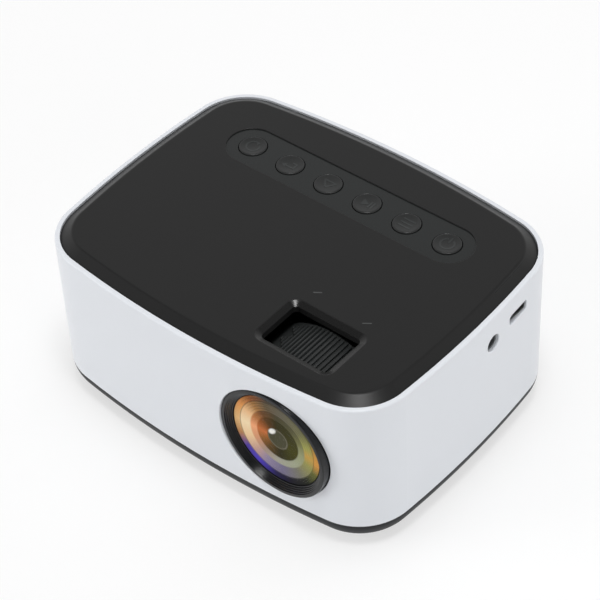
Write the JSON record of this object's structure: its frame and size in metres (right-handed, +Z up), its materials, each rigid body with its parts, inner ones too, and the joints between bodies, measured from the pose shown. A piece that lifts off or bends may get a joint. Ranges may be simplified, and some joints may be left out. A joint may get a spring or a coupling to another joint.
{
  "type": "mini projector",
  "caption": "Small desk projector: white bowed sleeve between a black cover and base, front lens with focus ring under a top window, key row, rear sockets and vents.",
  "frame": {"origin": "on the table under the middle of the case", "axes": "+Z up, the lens looks along -Y, +X to the right as seen from the front"},
  "size_m": [0.115, 0.0892, 0.0519],
  "materials": {
    "white_shell": "moulded white plastic with a soft sheen",
    "black_cover": "satin black painted plate",
    "base_plastic": "dark grey moulded plastic",
    "foot_rubber": "black moulded rubber",
    "mesh_sheet": "black perforated sheet",
    "switch_plastic": "black moulded plastic",
    "key_plastic": "satin black moulded plastic",
    "steel": "zinc plated steel",
    "board": "green board lacquer",
    "chip": "black epoxy",
    "nickel_sheet": "nickel plated sheet",
    "socket_grey": "grey moulded plastic",
    "contact_gold": "gold plated contacts",
    "socket_black": "black moulded plastic",
    "inner_plastic": "black moulded plastic",
    "mirror": "front silvered mirror",
    "aluminium": "extruded aluminium",
    "led": "yellow phosphor",
    "bezel_black": "glossy black plastic",
    "barrel_black": "black moulded plastic",
    "lens_glass": "coated lens",
    "ring_black": "black moulded plastic",
    "cone_paper": "pressed paper",
    "lead_black": "black insulated wire",
    "flex": "amber film",
    "brass": "turned brass",
    "clear_glass": "clear sheet"
  },
  "bodies": {
    "case": {"audio_jack": "socket_black", "av_jack": "socket_grey", "base_shell": "base_plastic", "board_screws": "steel", "body_shell": "white_shell", "case_screws": "steel", "engine_housing": "inner_plastic", "engine_lid": "inner_plastic", "engine_screws": "steel", "fan_frame": "inner_plastic", "fan_lead": "lead_black", "fold_mirror": "mirror", "front_fresnel": "clear_glass", "heat_glass": "clear_glass", "heatsink": "aluminium", "ir_receiver": "socket_black", "key_switches": "switch_plastic", "lcd_flex": "flex", "lcd_panel": "clear_glass", "led_board": "aluminium", "led_chip": "led", "led_lead": "lead_black", "lens_bezel": "bezel_black", "lens_tube": "inner_plastic", "main_board": "board", "main_chip": "chip", "micro_usb_shell": "nickel_sheet", "micro_usb_tongue": "socket_black", "rear_fresnel": "clear_glass", "reflector": "mirror", "rubber_feet": "foot_rubber", "speaker_cone": "cone_paper", "speaker_frame": "steel", "speaker_lead": "lead_black", "top_cover": "black_cover", "tripod_insert": "brass", "tube_screws": "steel", "usb_contacts": "contact_gold", "usb_shell": "nickel_sheet", "usb_tongue": "socket_grey", "vent_mesh_left": "mesh_sheet", "vent_mesh_right": "mesh_sheet"},
    "focus_ring": {"focus_ring": "ring_black"},
    "lens_barrel": {"lens_barrel": "barrel_black", "front_lens": "lens_glass", "middle_lens": "lens_glass", "rear_lens": "lens_glass"},
    "fan_rotor": {"fan_rotor": "inner_plastic"},
    "key_1": {"key_1": "key_plastic", "key_plunger_1": "switch_plastic"},
    "key_2": {"key_2": "key_plastic", "key_plunger_2": "switch_plastic"},
    "key_3": {"key_3": "key_plastic", "key_plunger_3": "switch_plastic"},
    "key_4": {"key_4": "key_plastic", "key_plunger_4": "switch_plastic"},
    "key_5": {"key_5": "key_plastic", "key_plunger_5": "switch_plastic"},
    "key_6": {"key_6": "key_plastic", "key_plunger_6": "switch_plastic"}
  },
  "joints": [
    {"name": "key_1_press", "type": "slide", "parent": "case", "child": "key_1", "axis": [0, 0, -1], "range_m": [0, 0.0003], "stiffness_N_per_m": 500, "springref_m": -0.001},
    {"name": "key_2_press", "type": "slide", "parent": "case", "child": "key_2", "axis": [0, 0, -1], "range_m": [0, 0.0003], "stiffness_N_per_m": 500, "springref_m": -0.001},
    {"name": "key_3_press", "type": "slide", "parent": "case", "child": "key_3", "axis": [0, 0, -1], "range_m": [0, 0.0003], "stiffness_N_per_m": 500, "springref_m": -0.001},
    {"name": "key_4_press", "type": "slide", "parent": "case", "child": "key_4", "axis": [0, 0, -1], "range_m": [0, 0.0003], "stiffness_N_per_m": 500, "springref_m": -0.001},
    {"name": "key_5_press", "type": "slide", "parent": "case", "child": "key_5", "axis": [0, 0, -1], "range_m": [0, 0.0003], "stiffness_N_per_m": 500, "springref_m": -0.001},
    {"name": "key_6_press", "type": "slide", "parent": "case", "child": "key_6", "axis": [0, 0, -1], "range_m": [0, 0.0003], "stiffness_N_per_m": 500, "springref_m": -0.001},
    {"name": "focus_turn", "type": "hinge", "parent": "case", "child": "focus_ring", "pos_m": [0.0267, -0.0295, 0.0281], "axis": [0, -1, 0], "range_deg": [-15, 35]},
    {"name": "lens_slide", "type": "slide", "parent": "case", "child": "lens_barrel", "axis": [0, -1, 0], "range_m": [-0.0011, 0.0025]},
    {"name": "fan_spin", "type": "hinge", "parent": "case", "child": "fan_rotor", "pos_m": [-0.03, 0.0341, 0.0192], "axis": [0, 1, 0], "continuous": true}
  ],
  "couplings": [
    {"joint": "lens_slide", "follows": "focus_turn", "m_per_rad": 0.0040107}
  ]
}
